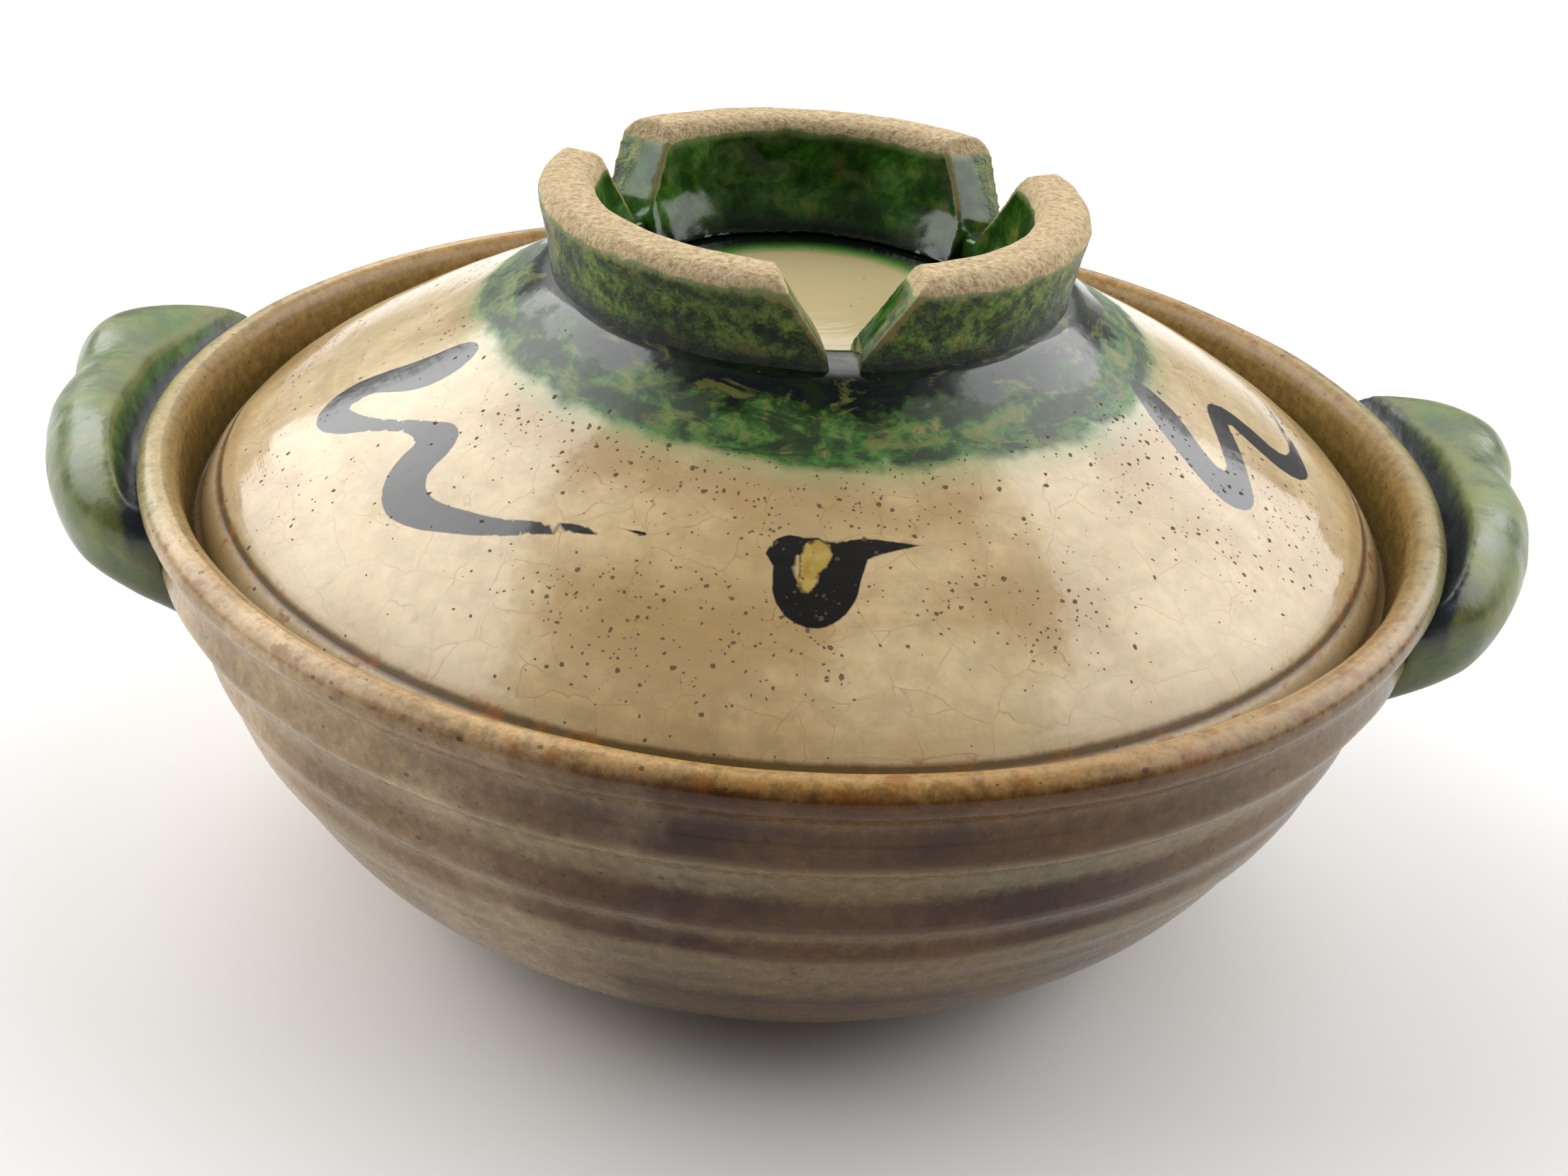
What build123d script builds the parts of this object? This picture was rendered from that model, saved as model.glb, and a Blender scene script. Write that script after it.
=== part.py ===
from build123d import *
import math
import os

os.makedirs("parts", exist_ok=True)

# Donabe clay pot: a thrown bowl with two lug handles, and a lid with a ring knob cut into three.
# Millimetres, +Z up, origin under the middle of the foot, +X towards the right handle.

# The bowl
rim_radius = 97.2          # widest point of the rolled lip
pot_height = 68.5          # table to the crest of the lip
wall = 6.5                 # thickness of the thrown wall
floor_thickness = 5.2      # clay under the middle of the inside
lip_thickness = 6.4        # lip, measured across
lip_drop = 3.4             # crest down to the widest point
neck_inset = 3.0           # hollow under the lip
neck_drop = 6.9            # crest down to that hollow
ridge_inset = 2.4          # ridge at the foot of the collar
ridge_drop = 13.0          # crest down to the ridge
step_depth = 3.4           # how far the belly steps in under the ridge
step_drop = 16.3           # crest down to the top of the belly
foot_radius = 46.0         # outside of the turned foot
foot_width = 8.0           # width of the ring it stands on
foot_height = 3.6          # recess inside the foot

# The belly under the step, top to foot: shares of the step's radius and of its height.
belly_radius_shares = (0.982, 0.978, 0.960, 0.944, 0.910, 0.863, 0.814, 0.761, 0.685, 0.580)
belly_height_shares = (0.900, 0.820, 0.757, 0.661, 0.546, 0.412, 0.297, 0.211, 0.146, 0.100)
# The same stations on the inside, a wall's thickness in: shares of the step's height.
inner_height_shares = (0.906, 0.830, 0.770, 0.680, 0.579, 0.450, 0.345, 0.272, 0.228, 0.197)

# The ledge inside the rim that carries the lid
ledge_drop = 11.5          # crest of the lip down to the ledge
ledge_inset = 6.9          # widest point of the lip in to the wall around the ledge
ledge_width = 6.6
ledge_edge = 1.2           # rounding of the ledge's inner edge
# The roll of the lip: how far the curve has come across and down at its two turns.
roll_across_share = 0.35
roll_drop_shares = (0.20, 0.12)  # outside, inside

# The lid
lid_clearance = 1.6        # gap between the lid's edge and the wall around the ledge
lid_wall = 6.5             # thickness of the lid's dome
lid_edge = 3.2             # height of the lid's rounded edge
lid_seat_width = 4.2       # flat ring that rests on the ledge
lid_rise = 37.0            # ledge up to the flat that carries the knob
knob_recess = 5.0          # floor inside the knob, below that flat
groove_inset = 3.1         # lid's edge in to the incised line
groove_rise = 6.8          # ledge up to that line
groove_width = 1.6
groove_depth = 0.7
steam_hole = 5.2           # bore behind the knob, on the far side of the dome
steam_radius = 62.0

# The dome between the lid's edge and the knob: shares of the way in, and of the rise.
dome_inward_shares = (0.138, 0.220, 0.344, 0.467, 0.591, 0.714, 0.837, 0.920, 0.971)
dome_rise_shares = (0.273, 0.357, 0.465, 0.558, 0.646, 0.733, 0.832, 0.911, 0.968)
# Its inside, the same way: shares of the inner radius, and of the inner rise.
hollow_radius_shares = (0.990, 0.925, 0.855, 0.785, 0.630, 0.500, 0.350)
hollow_rise_shares = (0.075, 0.230, 0.390, 0.510, 0.700, 0.850, 0.960)

# The knob, a thrown ring cut by three notches into three lobes
knob_radius = 39.9         # outside of the ring at its crest
knob_waist = 2.2           # how far the ring draws in above its base
knob_height = 12.8         # flat of the lid to the crest
knob_wall = 8.6
crest_land = 3.0           # flat on top of the lobes, where the lid stands when it is turned over
notch_foot = 2.4           # width of a notch where it ends on the lid
notch_mouth = 19.0         # its width at the crest
notch_turns = (-81.5, 36.0, 152.0)  # degrees from +X: front, right rear, left rear

# The handles: lofted lugs, flat on top, dented in the middle of the outer edge by a thumb
rear_reach = 20.2          # how far the rear half of a lug stands out from the lip
front_reach = 12.6         # the same in the front half, which the potter left smaller
middle_reach = 15.6        # the same between them
handle_insets = (0, 1.7)   # how far in from there the left and the right one were set
handle_rise = 2.6          # ridge on top of a lug above the crest of the lip
handle_thickness = 20.4    # top to bottom
handle_half_angles = (-24.0, 21.5)  # degrees from the middle to the front end and the rear end
handle_root_drop = 27.0    # crest of the lip down to the root of the underside
trough_gap = 2.8           # lip out to the line of the hollow between it and the lug
trough_depth = 6.5         # ridge down to that hollow
dent_radius = 6.0          # the thumb's dent
dent_depth = 2.4
dent_drop = 6.5            # ridge down to the middle of the dent
# Sections from an end to the middle: share of the half angle (front half, rear half), of the
# reach beyond the trough, of the thickness, and the ridge's drop as a share of the trough's depth.
section_turn_shares = ((1.0, 0.77, 0.48, 0.12), (1.0, 0.74, 0.42, 0.10))
section_reach_shares = (-0.38, 0.64, 1.0)
section_thickness_shares = (0.40, 0.84, 1.0, 0.98, 0.98)
section_drop_shares = (1.2, 0.35, 0.05, 0.08, 0.06)
# The outline of a section: steps in from the tip, and down from the ridge, as shares of its
# thickness (tip, shoulder, brow, ridge, heel); then down into the trough, as shares of its depth.
outline_inward_shares = (0, 0.07, 0.24, 0.52, 0.16)
outline_drop_shares = (0.52, 0.20, 0.05, 0, 0.90)
trough_drop_shares = (0.60, 0.90)
ridge_share = 0.42         # how far the ridge stands out over the trough, between root and ridge


def turned(outline):
    """A solid of revolution about Z from a closed outline of edges in the XZ plane."""
    return revolve(Plane.XZ * make_face(outline), Axis.Z)


def save(shape, name):
    shape.label = name
    export_step(shape, f"parts/{name}.step")


# Bowl outline, from the crest of the lip down the outside.
crest_radius = rim_radius - lip_thickness / 2
neck = (rim_radius - neck_inset, pot_height - neck_drop)
ridge = (rim_radius - ridge_inset, pot_height - ridge_drop)
step = (rim_radius - ridge_inset - step_depth, pot_height - step_drop)
crest = (crest_radius, pot_height)
lip_outer = (rim_radius, pot_height - lip_drop)
lip_turn = (crest_radius + lip_thickness * roll_across_share,
            pot_height - lip_drop * roll_drop_shares[0])
belly = [(step[0] * r, step[1] * h) for r, h in zip(belly_radius_shares, belly_height_shares)]
foot_outer = (foot_radius, 0)
foot_inner = (foot_radius - foot_width, 0)
recess_edge = (foot_inner[0] - foot_height / 2, foot_height)
outside = [Spline(crest, lip_turn, lip_outer, neck), Spline(neck, ridge, step),
           Spline(step, *belly), Line(belly[-1], foot_outer)]

# The outside filled solid: what the handles are cut back to.
filled = turned([*outside, Line(foot_outer, (0, 0)), Line((0, 0), (0, pot_height)),
                 Line((0, pot_height), crest)])

# Inside of the bowl: lip, wall around the ledge, ledge, then the hollow.
ledge_height = pot_height - ledge_drop
ledge_radius = rim_radius - ledge_inset
lip_inner = (rim_radius - lip_thickness, pot_height - lip_drop / 2)
ledge_corner = (ledge_radius, ledge_height)
ledge_inner = ledge_radius - ledge_width
inner_points = [(step[0] * r - wall, step[1] * h)
                for r, h in zip(belly_radius_shares, inner_height_shares)]
inside_floor = foot_height + floor_thickness
lip_roll = (crest_radius - lip_thickness * roll_across_share,
            pot_height - lip_drop * roll_drop_shares[1])
lip_inside = Spline(crest, lip_roll, lip_inner, (ledge_radius, ledge_height + ledge_edge))
hollow = Spline((ledge_inner, ledge_height - ledge_edge), *inner_points,
                (foot_inner[0], inside_floor + ledge_edge / 2), (foot_inner[0] / 2, inside_floor),
                (0, inside_floor))
inside = [lip_inside, Line((ledge_radius, ledge_height + ledge_edge), ledge_corner),
          Line(ledge_corner, (ledge_inner + ledge_edge, ledge_height)),
          RadiusArc((ledge_inner + ledge_edge, ledge_height), (ledge_inner, ledge_height - ledge_edge),
                    -ledge_edge),
          hollow]
foot = [Line(foot_outer, foot_inner), Line(foot_inner, recess_edge),
        Line(recess_edge, (0, foot_height)), Line((0, foot_height), (0, inside_floor))]
pot_bowl = turned([*outside, *foot, *inside])
save(pot_bowl, "pot_bowl")

# Lid dome: flat seat on the ledge, rounded edge, dome, flat for the knob, recessed middle.
lid_radius = ledge_radius - lid_clearance
knob_flat = ledge_height + lid_rise
knob_base = knob_radius - knob_waist
knob_inner = knob_radius - knob_wall
edge_round = lid_edge / 2
edge_point = (lid_radius, ledge_height + edge_round)
flat_outer = (knob_base + groove_width / 2, knob_flat)
flat_inner = (knob_inner - groove_width, knob_flat)
recess_floor = knob_flat - knob_recess
edge_top = (lid_radius - edge_round / 4, ledge_height + lid_edge)
stations = [(lid_radius - (lid_radius - flat_outer[0]) * i, ledge_height + lid_rise * h)
            for i, h in zip(dome_inward_shares, dome_rise_shares)]
groove_radius = lid_radius - groove_inset
groove_outer = (groove_radius + groove_width / 2, ledge_height + groove_rise - groove_width / 2)
groove_floor = (groove_radius - groove_depth / 2, ledge_height + groove_rise - groove_depth)
groove_inner = (groove_radius - groove_width / 2, ledge_height + groove_rise + groove_width / 2)
dome = Spline(groove_inner, *stations, flat_outer)
seat_outer = (lid_radius - edge_round, ledge_height)
seat_inner = (seat_outer[0] - lid_seat_width, ledge_height)
hollow_top = recess_floor - lid_wall
under = Spline(seat_inner,
               *[(seat_inner[0] * r, ledge_height + (hollow_top - ledge_height) * h)
                 for r, h in zip(hollow_radius_shares, hollow_rise_shares)],
               (0, hollow_top))
lid_outline = [
    Line(seat_inner, seat_outer), RadiusArc(seat_outer, edge_point, -edge_round),
    Line(edge_point, edge_top), Line(edge_top, groove_outer), Line(groove_outer, groove_floor),
    Line(groove_floor, groove_inner), dome, Line(flat_outer, flat_inner),
    Line(flat_inner, (flat_inner[0] - knob_recess / 2, recess_floor)),
    Line((flat_inner[0] - knob_recess / 2, recess_floor), (0, recess_floor)),
    Line((0, recess_floor), (0, hollow_top)), under]
lid_dome = turned(lid_outline)

# The steam hole, bored straight down behind the knob.
lid_dome -= Pos(0, steam_radius, ledge_height) * Cylinder(
    steam_hole / 2, 2 * lid_rise, align=(Align.CENTER, Align.CENTER, Align.MIN))
save(lid_dome, "lid_dome")

# The knob ring, then the three notches.
crest_height = knob_flat + knob_height
knob_crest = (knob_wall - crest_land) / 2
outer_shoulder = (knob_radius, crest_height - knob_crest)
inner_shoulder = (knob_inner, crest_height - knob_crest)
ring_base = ((knob_inner - knob_waist, knob_flat), (knob_base, knob_flat))
ring = turned([
    Line(*ring_base), Line(ring_base[1], outer_shoulder),
    RadiusArc(outer_shoulder, (knob_radius - knob_crest, crest_height), -knob_crest),
    Line((knob_radius - knob_crest, crest_height), (knob_inner + knob_crest, crest_height)),
    RadiusArc((knob_inner + knob_crest, crest_height), inner_shoulder, -knob_crest),
    Line(inner_shoulder, ring_base[0])])
notch = extrude(Plane.YZ * make_face(Polyline(
    (-notch_foot / 2, knob_flat - knob_recess), (notch_foot / 2, knob_flat - knob_recess),
    (notch_foot / 2, knob_flat), (notch_mouth / 2, crest_height),
    (notch_mouth / 2, crest_height + knob_crest), (-notch_mouth / 2, crest_height + knob_crest),
    (-notch_mouth / 2, crest_height), (-notch_foot / 2, knob_flat), close=True)), 2 * knob_radius)
lobes = ring
for turn in notch_turns:
    lobes -= Rot(0, 0, turn) * notch
names = {1: "knob_lobe_front_right", 2: "knob_lobe_back", 3: "knob_lobe_front_left"}


def bearing(solid):
    """Degrees from the front notch, anticlockwise seen from above, to a lobe's middle."""
    middle = solid.center()
    return (math.degrees(math.atan2(middle.Y, middle.X)) - notch_turns[0]) % 360


for place, lobe in enumerate(sorted(lobes.solids(), key=bearing), start=1):
    save(Part() + lobe, names[place])


trough_radius = rim_radius + trough_gap


def section(turn, reach, thickness, drop):
    """One cross-section of a lug, in the upright plane at that angle from +X."""
    angle = math.radians(turn)
    plane = Plane(origin=(0, 0, 0), x_dir=(math.cos(angle), math.sin(angle), 0),
                  z_dir=(math.sin(angle), -math.cos(angle), 0))
    height = handle_thickness * thickness
    top = pot_height + handle_rise - trough_depth * drop
    tip_radius = rim_radius + reach
    root = trough_radius - handle_thickness
    root_height = pot_height - handle_root_drop
    tip, shoulder, brow, ridge, heel = [
        (tip_radius - height * inward, top - height * down)
        for inward, down in zip(outline_inward_shares, outline_drop_shares)]
    return plane * make_face(Spline(
        tip, shoulder, brow, ridge,
        (ridge[0] - (ridge[0] - root) * ridge_share, top - trough_depth * trough_drop_shares[0]),
        (root, top - trough_depth * trough_drop_shares[1]),
        (root - wall, (top + root_height) / 2), (root, root_height - trough_depth),
        ((root + tip_radius) / 2, (top - height + root_height) / 2), heel, periodic=True))


halves = []
for half_angle, shares, reach in zip(handle_half_angles, section_turn_shares,
                                     (front_reach, rear_reach)):
    turns = [half_angle * share for share in (*shares, 0)]
    reaches = [trough_gap + (reach - trough_gap) * share for share in section_reach_shares]
    halves.append(loft([section(*values) for values in zip(
        turns, [*reaches, middle_reach, middle_reach], section_thickness_shares,
        section_drop_shares)]))
thumb = Pos(rim_radius + middle_reach + dent_radius - dent_depth, 0,
            pot_height + handle_rise - dent_drop) * Sphere(dent_radius)
left_lug, right_lug = [Pos(-inset, 0, 0) * (halves[0] + halves[1] - thumb) - filled
                       for inset in handle_insets]
save(mirror(left_lug, Plane.YZ), "handle_left")
save(right_lug, "handle_right")
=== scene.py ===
import bpy
import math
import numpy as np
from mathutils import Matrix, Vector


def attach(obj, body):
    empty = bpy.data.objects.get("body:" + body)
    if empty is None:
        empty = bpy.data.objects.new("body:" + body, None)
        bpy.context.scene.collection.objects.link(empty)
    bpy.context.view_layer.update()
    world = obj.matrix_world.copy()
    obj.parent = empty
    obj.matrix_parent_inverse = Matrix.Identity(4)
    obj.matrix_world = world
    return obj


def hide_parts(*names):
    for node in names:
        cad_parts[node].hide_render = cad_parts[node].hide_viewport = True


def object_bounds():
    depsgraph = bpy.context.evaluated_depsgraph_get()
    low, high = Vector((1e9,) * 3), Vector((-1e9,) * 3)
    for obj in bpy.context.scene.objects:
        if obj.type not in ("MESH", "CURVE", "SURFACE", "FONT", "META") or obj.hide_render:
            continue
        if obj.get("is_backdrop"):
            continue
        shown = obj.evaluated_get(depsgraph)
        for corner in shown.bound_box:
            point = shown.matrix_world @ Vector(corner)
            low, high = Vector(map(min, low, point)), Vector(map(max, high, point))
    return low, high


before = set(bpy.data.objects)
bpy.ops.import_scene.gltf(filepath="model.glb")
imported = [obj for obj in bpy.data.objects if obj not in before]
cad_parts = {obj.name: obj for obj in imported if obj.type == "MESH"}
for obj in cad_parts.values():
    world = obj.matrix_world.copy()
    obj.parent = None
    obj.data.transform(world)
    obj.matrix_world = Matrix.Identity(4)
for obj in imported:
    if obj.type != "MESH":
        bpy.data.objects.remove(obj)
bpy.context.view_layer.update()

# THE BOWL. A bowl thrown on the wheel in buff stoneware, with a rolled lip, a sunk ledge
# for the lid, a ridge at the foot of its collar and a turned foot left bare. Ash glaze,
# thin on the ridges and darker in the hollows between the thrower's finger lines, and banded
# with painted shade and painted reflection along those lines.

MM = 0.001  # lengths below are millimetres, and this brings them to metres


def finish(piece, kind, **settings):
    """Adds a modifier to the piece with its settings, and applies it."""
    modifier = piece.modifiers.new(kind.title(), kind)
    for name, value in settings.items():
        setattr(modifier, name, value)
    with bpy.context.temp_override(object=piece, active_object=piece, selected_objects=[piece]):
        bpy.ops.object.modifier_apply(modifier=modifier.name)


def throw(name, outline, turns):
    """A thrown piece: a point is extruded along the outline (radius, height), the line is
    rounded, and then it is spun about Z."""
    bpy.ops.object.select_all(action="DESELECT")
    bpy.ops.mesh.primitive_plane_add(size=MM)
    piece = bpy.context.object
    piece.name = piece.data.name = name
    bpy.ops.object.mode_set(mode="EDIT")
    bpy.ops.mesh.select_mode(type="VERT")
    bpy.ops.mesh.merge(type="CENTER")
    here = Vector((0, 0, 0))
    for place, (radius, height) in enumerate(outline):
        there = Vector((radius, 0, height)) * MM
        step = {"value": there - here}
        if place:
            bpy.ops.mesh.extrude_region_move(TRANSFORM_OT_translate=step)
        else:
            bpy.ops.transform.translate(**step)
        here = there
    bpy.ops.object.mode_set(mode="OBJECT")
    finish(piece, "SUBSURF", levels=1, render_levels=1)
    bpy.ops.object.mode_set(mode="EDIT")
    bpy.ops.mesh.select_all(action="SELECT")
    bpy.ops.mesh.spin(steps=turns, angle=math.tau, center=(0, 0, 0), axis=(0, 0, 1))
    bpy.ops.mesh.select_all(action="SELECT")
    bpy.ops.mesh.remove_doubles(threshold=0.01 * MM)
    bpy.ops.mesh.normals_make_consistent(inside=False)
    bpy.ops.object.mode_set(mode="OBJECT")
    bpy.ops.object.shade_smooth()
    return piece


def unevenness(name, size, depth=2):
    """A cloud pattern for Displace, with lumps of that size in millimetres."""
    pattern = bpy.data.textures.new(name, "CLOUDS")
    pattern.noise_scale = size * MM
    pattern.noise_depth = depth
    return pattern


bowl_outline = [
    (0, 3.6), (18, 3.6), (32, 3.6), (35.6, 3.45), (37.2, 2.0), (38.0, 0.3), (38.7, 0), (42, 0),
    (45.4, 0), (46.2, 0.3), (47.8, 1.4), (50.2, 3.3), (53.0, 5.2), (57.6, 6.3), (62.6, 7.7),
    (66.3, 9.2), (69.5, 11.0), (72.1, 13.2), (74.5, 15.7), (76.8, 18.5), (78.8, 21.4),
    (80.5, 24.2), (81.9, 26.8), (82.8, 28.4), (83.1, 29.4), (84.1, 30.5), (85.3, 32.4),
    (86.4, 34.8), (87.0, 36.9), (87.2, 38.4), (87.6, 39.8), (88.8, 41.3), (89.5, 42.9),
    (89.5, 44.6), (89.3, 46.6), (89.9, 48.8), (90.6, 50.9), (91.8, 52.5), (93.7, 53.8),
    (94.6, 55.2), (94.7, 56.6), (94.3, 58.3), (94.0, 60.2), (94.2, 61.8), (95.2, 62.9),
    (96.4, 64.0), (96.8, 65.2), (96.7, 66.3), (96.2, 67.3), (95.3, 68.0), (94.0, 68.3),
    (92.8, 68.1), (91.8, 67.4), (91.1, 66.1), (90.8, 64.0), (90.6, 61.5), (90.4, 59.0),
    (90.2, 57.6), (89.7, 57.0), (88.0, 56.9), (85.4, 56.9), (84.2, 56.5), (83.7, 55.6),
    (83.5, 53.0), (83.3, 49.0), (83.0, 45.2), (82.2, 42.0), (81.0, 39.0), (79.5, 35.0),
    (77.0, 30.6), (74.4, 26.5), (71.6, 22.5), (67.6, 17.7), (63.0, 14.2), (56.0, 11.9),
    (47.0, 10.3), (38.0, 9.4), (28.0, 8.95), (15.0, 8.8), (0, 8.8)]
bowl = throw("bowl", bowl_outline, 320)
finish(bowl, "DISPLACE", texture=unevenness("bowl_lumps", 26), strength=0.5 * MM, mid_level=0.55)
bowl_low = min(v.co.z for v in bowl.data.vertices)
bowl.data.transform(Matrix.Translation((0, 0, -bowl_low)))


def points(piece):
    """The piece's points and their normals, in millimetres, as two arrays."""
    count = len(piece.data.vertices)
    places, normals = np.zeros(count * 3), np.zeros(count * 3)
    piece.data.vertices.foreach_get("co", places)
    piece.data.vertices.foreach_get("normal", normals)
    return places.reshape(-1, 3) / MM, normals.reshape(-1, 3)


def keep(piece, name, values):
    """Keeps one number a point on the piece, for its glaze to read."""
    layer = piece.data.attributes.new(name, "FLOAT", "POINT")
    layer.data.foreach_set("value", np.asarray(values, np.float32))


bowl_points, bowl_normals = points(bowl)
outward = np.hypot(bowl_points[:, 0], bowl_points[:, 1])
facing_in = (bowl_points * bowl_normals)[:, :2].sum(1) < -0.3 * outward
facing_up = (bowl_normals[:, 2] > 0.5) & (outward < 91)
keep(bowl, "inner", facing_in & (bowl_points[:, 2] > 5) | facing_up)


def colour(code):
    """A colour written as sRGB hex, in the linear numbers that shaders take."""
    parts = [int(code[i:i + 2], 16) / 255 for i in (1, 3, 5)]
    return [p / 12.92 if p <= 0.04045 else ((p + 0.055) / 1.055) ** 2.4 for p in parts] + [1]


def add(tree, kind, links={}, values={}, stops=(), **settings):
    """Adds one shader node, with its settings, the numbers on its sockets and its links."""
    node = tree.nodes.new("ShaderNode" + kind)
    for name, value in settings.items():
        setattr(node, name, value)
    for place, (at, shade) in enumerate(stops):
        ramp = node.color_ramp.elements
        stop = ramp[place] if place < len(ramp) and place < 2 else ramp.new(at)
        stop.position, stop.color = at, colour(shade) if isinstance(shade, str) else (shade,) * 3 + (1,)
    for name, value in values.items():
        node.inputs[name].default_value = value
    for name, source in links.items():
        tree.links.new(source.outputs[0] if hasattr(source, "outputs") else source, node.inputs[name])
    return node


def glaze(name):
    """A new material with a Principled surface: returns its tree, that node, and Object coordinates."""
    material = bpy.data.materials.new(name)
    material.use_nodes = True
    tree = material.node_tree
    surface = tree.nodes["Principled BSDF"]
    return material, tree, surface, add(tree, "TexCoord").outputs["Object"]


# Ash glaze on buff stoneware: glassy, a little uneven, iron specks showing through. It runs thin
# and grey over ridges and gathers brown in hollows, so its colour follows the height; its bands also
# hold painted light: painted reflection on slopes facing up, painted shade in the hollows, and a
# painted shadow under the lip.
bowl_glaze, tree, surface, place = glaze("ash_glaze_on_stoneware_bowl")
axes = add(tree, "SeparateXYZ", {0: place})
flat = add(tree, "VectorMath", {0: place}, {1: (1, 1, 0)}, operation="MULTIPLY")
radius = add(tree, "VectorMath", {0: flat}, operation="LENGTH").outputs["Value"]
drift = add(tree, "TexNoise", {"Vector": place}, {"Scale": 28, "Detail": 5, "Roughness": 0.6})
fine = add(tree, "TexNoise", {"Vector": place}, {"Scale": 520, "Detail": 5, "Roughness": 0.75})
shift = add(tree, "Math", {0: drift.outputs["Fac"]}, {1: 0.5}, operation="SUBTRACT")
shift_fine = add(tree, "Math", {0: fine.outputs["Fac"]}, {1: 0.5}, operation="SUBTRACT")
height = add(tree, "Math", {0: shift, 2: axes.outputs["Z"]}, {1: 0.003}, operation="MULTIPLY_ADD")
height = add(tree, "Math", {0: shift_fine, 2: height}, {1: 0.0018}, operation="MULTIPLY_ADD")
share = add(tree, "Math", {0: height}, {1: 1 / 0.070}, operation="MULTIPLY")
# The dark bands are partly painted shade, the dark band just under the lip is a painted shadow, and the
# pale bands are partly painted reflection.
outside = add(tree, "ValToRGB", {0: share}, stops=[
    (0.00, "#5B3D17"), (1.00, "#A98A58"), (0.10, "#5E411C"), (0.19, "#5D482A"), (0.27, "#593E1E"),
    (0.345, "#3C210D"), (0.375, "#5E4A30"), (0.46, "#67563C"), (0.505, "#726146"), (0.522, "#3C200E"),
    (0.55, "#3B1E0D"), (0.585, "#614C31"), (0.606, "#3B1D0B"), (0.665, "#391D0B"), (0.69, "#68593E"),
    (0.745, "#74664A"), (0.79, "#6D5B3F"), (0.808, "#3E210E"), (0.865, "#3A1D0D"), (0.89, "#543E26"),
    (0.93, "#462811"), (0.955, "#49280C"), (0.975, "#9C7A47")])
# Inside, the colour darkens down the inner wall towards the ledge: painted shade in the gap beside the
# lid's edge.
within = add(tree, "ValToRGB", {0: share}, stops=[
    (0.00, "#B7A07E"), (1.00, "#A98A58"), (0.74, "#B09A70"), (0.79, "#8B7448"), (0.86, "#705C2C"),
    (0.93, "#82693A"), (0.965, "#93763F")])
inner = add(tree, "Attribute", attribute_name="inner")
body = add(tree, "Mix", {0: inner.outputs["Fac"], 6: outside, 7: within}, data_type="RGBA")
# The left side is painted a warmer, lighter ochre and the right side a paler tan: painted light
# where the two soft boxes light the sides. Brown clouds drift over both.
side = add(tree, "Math", {0: shift, 2: axes.outputs["X"]}, {1: 0.12}, operation="MULTIPLY_ADD")
lit_left_side = add(tree, "MapRange", {0: side}, {1: -0.015, 2: -0.062, 3: 0, 4: 0.65})
lit_left_side = add(tree, "Math", {1: inner.outputs["Fac"], 0: lit_left_side.outputs[0]}, operation="SUBTRACT",
            use_clamp=True)
body = add(tree, "Mix", {0: lit_left_side, 6: body.outputs[2]}, {7: colour("#D0B48A")}, data_type="RGBA")
# The right side is painted paler: painted light from the right soft box.
lit_right_side = add(tree, "MapRange", {0: axes.outputs["X"]}, {1: 0.035, 2: 0.075, 3: 0, 4: 0.35})
lit_right_side = add(tree, "Math", {1: inner.outputs["Fac"], 0: lit_right_side.outputs[0]}, operation="SUBTRACT",
           use_clamp=True)
body = add(tree, "Mix", {0: lit_right_side, 6: body.outputs[2]}, {7: colour("#AC9877")}, data_type="RGBA")
warm = add(tree, "MapRange", {0: drift.outputs["Fac"]}, {1: 0.46, 2: 0.60, 3: 0, 4: 0.35})
body = add(tree, "Mix", {0: warm.outputs[0], 6: body.outputs[2]}, {7: colour("#7D5C30")},
           data_type="RGBA")
mottle = add(tree, "MapRange", {0: fine.outputs["Fac"]}, {1: 0.36, 2: 0.64, 3: 0.72, 4: 1.26})
body = add(tree, "VectorMath", {0: body.outputs[2], 1: mottle}, operation="MULTIPLY")
# Iron specks, up to 1 mm, drawn out round the pot by the thrower's hand.
grains = add(tree, "TexVoronoi", {"Vector": add(tree, "Mapping", {"Vector": place},
                                                {"Scale": (1, 1, 1.7)})},
             {"Scale": 1 / (2.4 * MM)})
chance = add(tree, "SeparateColor", {0: grains.outputs["Color"]})
size = add(tree, "MapRange", {0: chance.outputs[0]}, {1: 0.35, 2: 1.0, 3: 0.0, 4: 0.20})
speck = add(tree, "Math", {0: grains.outputs["Distance"], 1: size}, operation="LESS_THAN")
speck_part = add(tree, "Math", {0: speck}, {1: 0.65}, operation="MULTIPLY")
body = add(tree, "Mix", {0: speck_part, 6: body}, {7: colour("#33261A")}, data_type="RGBA")
# Rust where the glaze is thin: blots of 2 to 4 mm along the crest of the lip, and fine freckles.
blots = add(tree, "TexNoise", {"Vector": place}, {"Scale": 190, "Detail": 4, "Roughness": 0.6})
freckles = add(tree, "TexNoise", {"Vector": place}, {"Scale": 520, "Detail": 3})
blot = add(tree, "MapRange", {0: blots.outputs["Fac"]}, {1: 0.57, 2: 0.64})
freckle = add(tree, "MapRange", {0: freckles.outputs["Fac"]}, {1: 0.60, 2: 0.66, 3: 0, 4: 0.7})
rust = add(tree, "Math", {0: blot.outputs[0], 1: freckle.outputs[0]}, operation="MAXIMUM")
lip_band = add(tree, "MapRange", {0: axes.outputs["Z"]}, {1: 0.0660, 2: 0.0675, 3: 0, 4: 0.62})
rust = add(tree, "Math", {0: rust, 1: lip_band.outputs[0]}, operation="MULTIPLY")
body = add(tree, "Mix", {0: rust, 6: body.outputs[2]}, {7: colour("#7F4A17")}, data_type="RGBA")


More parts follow.
